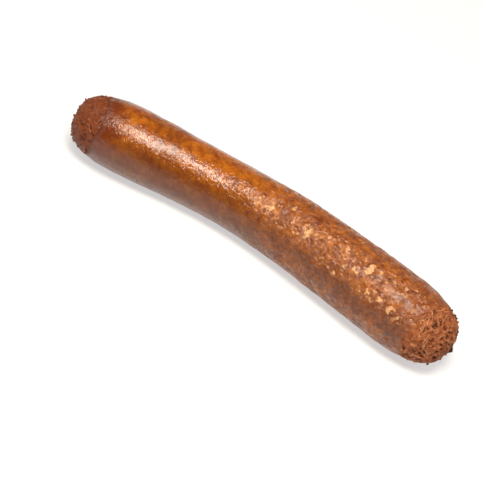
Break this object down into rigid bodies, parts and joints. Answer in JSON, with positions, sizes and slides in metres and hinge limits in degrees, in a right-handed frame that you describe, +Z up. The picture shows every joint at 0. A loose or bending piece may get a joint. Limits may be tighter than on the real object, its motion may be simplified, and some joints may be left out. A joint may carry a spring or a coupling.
{
  "type": "grilled sausage",
  "caption": "Slightly bent grilled sausage lying on its side, its thin casing open at each end where coarse minced filling bulges out.",
  "frame": {"origin": "under the middle of the sausage's bounding box, on the surface it lies on", "axes": "+X along the sausage towards its thicker end, +Y the side it bows towards, +Z up"},
  "size_m": [0.1648, 0.0332, 0.0271],
  "materials": {
    "casing": null,
    "filling": null
  },
  "bodies": {
    "root": {"casing": "casing", "filling": "filling"}
  },
  "joints": []
}
